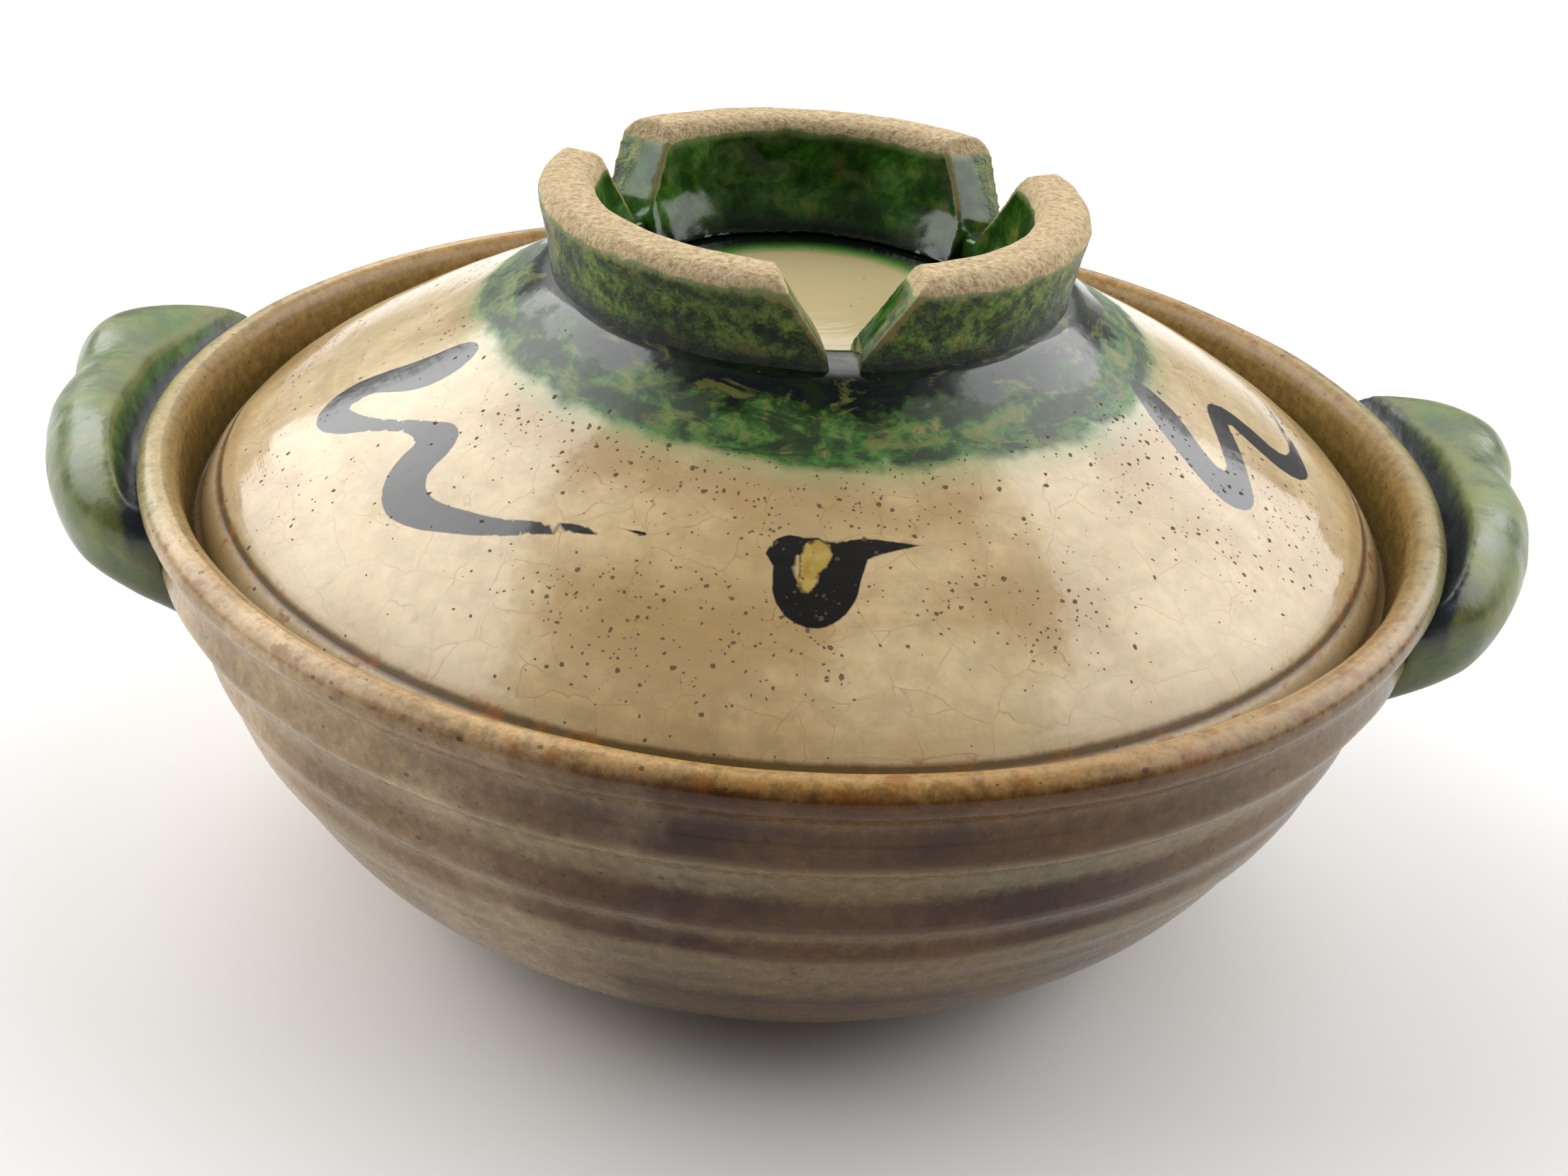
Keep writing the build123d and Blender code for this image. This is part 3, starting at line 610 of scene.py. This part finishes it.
# Inside the knob's ring: green wall, a dark line at its foot, and a pale disc in the middle.
wobble = add(tree, "Math", {0: drift.outputs["Fac"], 2: radius}, {1: 0.006}, operation="MULTIPLY_ADD")
well = add(tree, "ValToRGB", {0: add(tree, "MapRange", {0: wobble}, {1: 0.015, 2: 0.035})}, stops=[
    (0.0, "#B8A87E"), (1.0, "#2E4F1A"), (0.36, "#BBAB80"), (0.44, "#8E9B60"), (0.52, "#4A7A30"),
    (0.59, "#2A4C1B"), (0.65, "#0E1712"), (0.82, "#10190F"), (0.90, "#24400F")])
inside_ring = add(tree, "Math", {0: radius}, {1: 0.031}, operation="LESS_THAN")
green = add(tree, "Mix", {0: inside_ring, 6: green.outputs[2], 7: well}, data_type="RGBA")
top_side = add(tree, "MapRange", {0: axes.outputs["Z"]}, {1: 0.0826, 2: 0.0832})
skirt = add(tree, "Math", {0: skirt.outputs[0], 1: top_side.outputs[0]}, operation="MULTIPLY")
face = add(tree, "Mix", {0: skirt, 6: ash.outputs[2], 7: green.outputs[2]}, data_type="RGBA")
# Iron-oxide brush marks under the glaze, amber where the brush left one thin.
brush = add(tree, "Attribute", attribute_name="brush")
ragged = add(tree, "Math", {0: fine.outputs["Fac"], 2: brush.outputs["Fac"]}, {1: 0.30},
             operation="MULTIPLY_ADD")
iron = add(tree, "MapRange", {0: ragged}, {1: 0.20, 2: 0.02})
thin = add(tree, "Attribute", attribute_name="thin_iron")
thin = add(tree, "Math", {0: fine.outputs["Fac"], 2: thin.outputs["Fac"]}, {1: 2.2},
           operation="MULTIPLY_ADD")
thin_part = add(tree, "MapRange", {0: thin}, {1: 1.15, 2: 0.75, 3: 0, 4: 0.95})
amber = add(tree, "ValToRGB", {0: rust.outputs["Fac"]}, stops=[
    (0.38, "#B39A55"), (0.64, "#9A5A1C"), (0.52, "#A58A42")])
ink = add(tree, "Mix", {0: thin_part.outputs[0], 7: amber}, {6: colour("#1B1A18")}, data_type="RGBA")
face = add(tree, "Mix", {0: iron.outputs[0], 6: face.outputs[2], 7: ink.outputs[2]}, data_type="RGBA")
pit_part = add(tree, "Math", {0: pit}, {1: 0.85}, operation="MULTIPLY")
face = add(tree, "Mix", {0: pit_part, 6: face.outputs[2]}, {7: colour("#463118")}, data_type="RGBA")
bare = add(tree, "MapRange", {0: axes.outputs["Z"]}, {1: 0.0590, 2: 0.0582})
clay = add(tree, "Mix", {0: fine.outputs["Fac"]}, {6: colour("#C6A77C"), 7: colour("#A88659")},
           data_type="RGBA")
face = add(tree, "Mix", {0: bare.outputs[0], 6: face.outputs[2], 7: clay.outputs[2]}, data_type="RGBA")
tree.links.new(face.outputs[2], surface.inputs["Base Color"])
sheen = add(tree, "MapRange", {0: drift.outputs["Fac"]}, {1: 0.3, 2: 0.7, 3: 0.09, 4: 0.15})
edge = add(tree, "MapRange", {0: radius}, {1: 0.0838, 2: 0.0850, 3: 0, 4: 0.42})
dull = add(tree, "Math", {0: pit, 1: bare.outputs[0]}, operation="MAXIMUM")
dull = add(tree, "Math", {0: dull, 1: edge.outputs[0]}, operation="MAXIMUM")
rough_green = add(tree, "MapRange", {0: green_rings}, {1: 0.26, 2: 0.42, 3: 0, 4: 0.42})
rough_green = add(tree, "Math", {0: rough_green.outputs[0], 1: skirt}, operation="MULTIPLY")
dull = add(tree, "Math", {0: dull, 1: rough_green}, operation="MAXIMUM")
dull = add(tree, "Mix", {0: dull, 2: sheen.outputs[0]}, {3: 0.85}, data_type="FLOAT")
tree.links.new(dull.outputs[0], surface.inputs["Roughness"])
surface.inputs["IOR"].default_value = 1.5
peel = add(tree, "TexNoise", {"Vector": place}, {"Scale": 120, "Detail": 3})
relief = add(tree, "Math", {0: lines.outputs["Fac"], 2: peel.outputs["Fac"]}, {1: 0.5},
             operation="MULTIPLY_ADD")
pit_depth = add(tree, "Math", {0: pit, 2: relief}, {1: -2.0}, operation="MULTIPLY_ADD")
bump = add(tree, "Bump", {"Height": pit_depth}, {"Strength": 0.4, "Distance": 0.3 * MM})
tree.links.new(bump.outputs[0], surface.inputs["Normal"])
lid.data.materials.append(lid_glaze)
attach(lid, "lid")
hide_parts("lid_dome")

# THE KNOB. A ring thrown on top of the lid and cut by three notches into three lobes, which
# the lid also stands on when it is turned over. Green glaze on the walls, its crest wiped
# bare so that it doesn't stick: coarse sandy clay.

# The glaze is pitted and olive outside, where it ran thin, and deep and glassy inside. It drew
# back from the cut edges and the crest, which show grog: grains of 0.4 to 1 mm.
lobe_glaze, tree, surface, place = glaze("copper_green_glaze_and_bare_crest")
axes = add(tree, "SeparateXYZ", {0: place})
flat = add(tree, "VectorMath", {0: place}, {1: (1, 1, 0)}, operation="MULTIPLY")
radius = add(tree, "VectorMath", {0: flat}, operation="LENGTH").outputs["Value"]
rough = add(tree, "TexNoise", {"Vector": place}, {"Scale": 330, "Detail": 6, "Roughness": 0.75})
patches = add(tree, "TexNoise", {"Vector": place}, {"Scale": 120, "Detail": 5, "Roughness": 0.6})
outside = add(tree, "ValToRGB", {0: rough.outputs["Fac"]}, stops=[
    (0.36, "#12180B"), (0.68, "#9A8A54"), (0.43, "#253414"), (0.49, "#3A521E"), (0.54, "#547428"),
    (0.59, "#6E7833"), (0.63, "#857C42")])
glassy = add(tree, "Mix", {7: copper_green(tree, place, 3.5)}, {0: 0.35, 6: colour("#264A14")},
             data_type="RGBA")
inward = add(tree, "MapRange", {0: radius}, {1: 0.0362, 2: 0.0350})
wall = add(tree, "Mix", {0: inward.outputs[0], 6: outside, 7: glassy.outputs[2]}, data_type="RGBA")
cloudy = add(tree, "MapRange", {0: patches.outputs["Fac"]}, {1: 0.40, 2: 0.60, 3: 0.55, 4: 1.25})
wall = add(tree, "VectorMath", {0: wall.outputs[2], 1: cloudy}, operation="MULTIPLY")
foot_height = add(tree, "Mix", {0: inward.outputs[0]}, {2: 0.0972, 3: 0.0935}, data_type="FLOAT")
foot = add(tree, "Math", {0: foot_height.outputs[0], 1: axes.outputs["Z"]}, operation="SUBTRACT")
foot = add(tree, "MapRange", {0: foot}, {1: 0, 2: 0.0027, 3: 0, 4: 0.9})
wall = add(tree, "Mix", {0: foot.outputs[0], 6: wall}, {7: colour("#0F1613")}, data_type="RGBA")
line = add(tree, "Math", {0: patches.outputs["Fac"], 2: axes.outputs["Z"]}, {1: 0.0024},
           operation="MULTIPLY_ADD")
line = add(tree, "Math", {0: rough.outputs["Fac"], 2: line}, {1: 0.0014}, operation="MULTIPLY_ADD")
gritty = add(tree, "TexNoise", {"Vector": place}, {"Scale": 1100, "Detail": 4, "Roughness": 0.7})
sand = add(tree, "ValToRGB", {0: gritty.outputs["Fac"]}, stops=[
    (0.34, "#9F8762"), (0.68, "#D6C4A0"), (0.42, "#B59D76"), (0.50, "#C1AA83"), (0.58, "#CBB590")])
speck = None
for spacing, widest in ((1.7, 0.26), (0.9, 0.26)):
    grog = add(tree, "TexVoronoi", {"Vector": place}, {"Scale": 1 / (spacing * MM)})
    grain = add(tree, "SeparateColor", {0: grog.outputs["Color"]})
    size = add(tree, "MapRange", {0: grain.outputs[0]}, {1: 0.45, 2: 1, 3: 0, 4: widest})
    dot = add(tree, "Math", {0: grog.outputs["Distance"], 1: size}, operation="LESS_THAN")
    speck = dot if speck is None else add(tree, "Math", {0: speck, 1: dot}, operation="MAXIMUM")
speck_part = add(tree, "Math", {0: speck}, {1: 0.34}, operation="MULTIPLY")
sand = add(tree, "Mix", {0: speck_part, 6: sand}, {7: colour("#5F4C33")}, data_type="RGBA")
proud = add(tree, "Attribute", attribute_name="proud")
worn = add(tree, "Math", {0: rough.outputs["Fac"], 2: proud.outputs["Fac"]}, {1: 0.25},
           operation="MULTIPLY_ADD")
worn = add(tree, "MapRange", {0: worn}, {1: 0.27, 2: 0.36, 3: 0, 4: 0.8})
above_lid = add(tree, "MapRange", {0: axes.outputs["Z"]}, {1: 0.0955, 2: 0.0985})
worn = add(tree, "Math", {0: worn.outputs[0], 1: above_lid.outputs[0]}, operation="MULTIPLY")
wall = add(tree, "Mix", {0: worn, 6: wall.outputs[2]}, {7: colour("#8C7D4C")},
           data_type="RGBA")
pale = add(tree, "MapRange", {0: line}, {1: 0.1052, 2: 0.1062, 3: 0, 4: 0.7})
wall = add(tree, "Mix", {0: pale.outputs[0], 6: wall.outputs[2]}, {7: colour("#7F8A55")},
           data_type="RGBA")
crest = add(tree, "MapRange", {0: line}, {1: 0.1062, 2: 0.1066})
face = add(tree, "Mix", {0: crest.outputs[0], 6: wall.outputs[2], 7: sand.outputs[2]}, data_type="RGBA")
tree.links.new(face.outputs[2], surface.inputs["Base Color"])
glazed = add(tree, "Mix", {0: inward.outputs[0]}, {2: 0.24, 3: 0.10}, data_type="FLOAT")
dry = add(tree, "Math", {0: crest.outputs[0], 1: worn}, operation="MAXIMUM")
dull = add(tree, "Mix", {0: dry, 2: glazed.outputs[0]}, {3: 0.95}, data_type="FLOAT")
tree.links.new(dull.outputs[0], surface.inputs["Roughness"])
surface.inputs["IOR"].default_value = 1.5
grainy = add(tree, "Mix", {0: crest.outputs[0], 2: rough.outputs["Fac"], 3: gritty.outputs["Fac"]},
             data_type="FLOAT")
relief = add(tree, "Math", {0: speck, 2: grainy.outputs[0]}, {1: -0.5}, operation="MULTIPLY_ADD")
coarse = add(tree, "MapRange", {0: inward.outputs[0]}, {1: 0, 2: 1, 3: 0.9, 4: 0.05})
coarse = add(tree, "Math", {0: coarse.outputs[0], 1: crest.outputs[0]}, operation="MAXIMUM")
bump = add(tree, "Bump", {"Height": relief, "Strength": coarse}, {"Distance": 0.7 * MM})
tree.links.new(bump.outputs[0], surface.inputs["Normal"])


def into_lid(lobe):
    """Runs the foot of a lobe down into the lid, and its inner wall in to the well's floor."""
    lower, closer = 4.6, 0.915
    move(lobe, "FACE", lambda face: face.normal.z < -0.9, bpy.ops.transform.translate,
         value=(0, 0, -lower * MM))
    move(lobe, "VERT", lambda point: point.co.z < 90 * MM and point.co.xy.length < 31 * MM,
         bpy.ops.transform.resize, value=(closer, closer, 1), center_override=(0, 0, 0))


for part in ("front_left", "front_right", "back"):
    lobe = from_solid("lobe_" + part, "knob_lobe_" + part, 0.5, 4, into_lid)
    finish(lobe, "DISPLACE", texture=unevenness("lobe_lumps_" + part, 7), strength=0.45 * MM,
           mid_level=0.88)
    keep(lobe, "proud", proudness(lobe, 14))
    lobe.data.materials.append(lobe_glaze)
    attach(lobe, "lid")
    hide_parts("knob_lobe_" + part)

# THE STAGE. The white table the pot was photographed on, two big soft boxes left and right
# that show as the two pale patches on the lid, and a room that is dark on the camera's side.

bpy.ops.object.select_all(action="DESELECT")
bpy.ops.mesh.primitive_plane_add(size=8)
table = bpy.context.object
table.name = "table"
table_paint, tree, surface, place = glaze("white_matt_table")
surface.inputs["Base Color"].default_value = colour("#ECEBEA")
surface.inputs["Roughness"].default_value = 0.9
table.data.materials.append(table_paint)
table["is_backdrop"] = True

# The room: pale walls high up and behind the pot, dark ceiling and dark around the camera. What
# the camera sees past the table is white.
world = bpy.data.worlds.new("room")
bpy.context.scene.world = world
world.use_nodes = True
tree = world.node_tree
path = add(tree, "LightPath")
aim = add(tree, "SeparateXYZ", {0: add(tree, "TexCoord").outputs["Generated"]})
overhead = add(tree, "ValToRGB", {0: aim.outputs["Z"]}, stops=[
    (0.20, 0.02), (1.00, 0.10), (0.45, 0.90), (0.80, 1.00), (0.93, 0.15)])
towards = add(tree, "MapRange", {0: aim.outputs["Y"]}, {1: -0.6, 2: 0.3, 3: 0.15, 4: 1.65})
overhead = add(tree, "Math", {0: overhead, 1: towards.outputs[0]}, operation="MULTIPLY")
behind = add(tree, "MapRange", {0: aim.outputs["Y"]}, {1: 0.0, 2: 0.8, 3: 0.0, 4: 0.30})
level = add(tree, "Math", {0: overhead, 1: behind.outputs[0]}, operation="ADD")
level = add(tree, "Mix", {0: path.outputs["Is Camera Ray"], 2: level}, {3: 1.0}, data_type="FLOAT")
tree.links.new(level.outputs[0], tree.nodes["Background"].inputs["Strength"])
tree.nodes["Background"].inputs["Color"].default_value = (1, 1, 1, 1)

target = Vector((0, 0, 0.06))
for name, centre, width, tall, power in (
        ("softbox_left", (-0.70, 0.20, 0.56), 1.15, 0.75, 8.5),
        ("softbox_right", (0.70, 0.20, 0.56), 1.15, 0.75, 7)):
    lamp = bpy.data.lights.new(name, "AREA")
    lamp.shape, lamp.size, lamp.size_y, lamp.energy = "RECTANGLE", width, tall, power
    box = bpy.data.objects.new(name, lamp)
    bpy.context.scene.collection.objects.link(box)
    away = (Vector(centre) - target).normalized()
    sideways = Vector((0, 0, 1)).cross(away).normalized()
    box.matrix_world = Matrix.Translation(centre) @ Matrix(
        (sideways, away.cross(sideways), away)).transposed().to_4x4()

# The camera stands where the photograph was taken from, and was held 4 degrees askew.
shot = (2212, 1659)
stand = (0, -0.2855, 0.1989)
focal, pan, tilt, roll = 2900, -0.0011, 0.5077, -0.0755
camera_data = bpy.data.cameras.new("camera")
camera_data.sensor_width, camera_data.lens = 36, 36 * focal / shot[0]
camera_data.clip_start = 0.01
camera = bpy.data.objects.new("camera", camera_data)
bpy.context.scene.collection.objects.link(camera)
ahead = Vector((math.sin(pan) * math.cos(tilt), math.cos(pan) * math.cos(tilt), -math.sin(tilt)))
right = Vector((math.cos(pan), -math.sin(pan), 0))
down = ahead.cross(right)
across = right * math.cos(roll) + down * math.sin(roll)
lower = down * math.cos(roll) - right * math.sin(roll)
camera.matrix_world = Matrix.Translation(stand) @ Matrix(
    (across, -lower, -ahead)).transposed().to_4x4()
bpy.context.scene.camera = camera
bpy.context.scene.view_settings.view_transform = "Standard"

low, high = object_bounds()
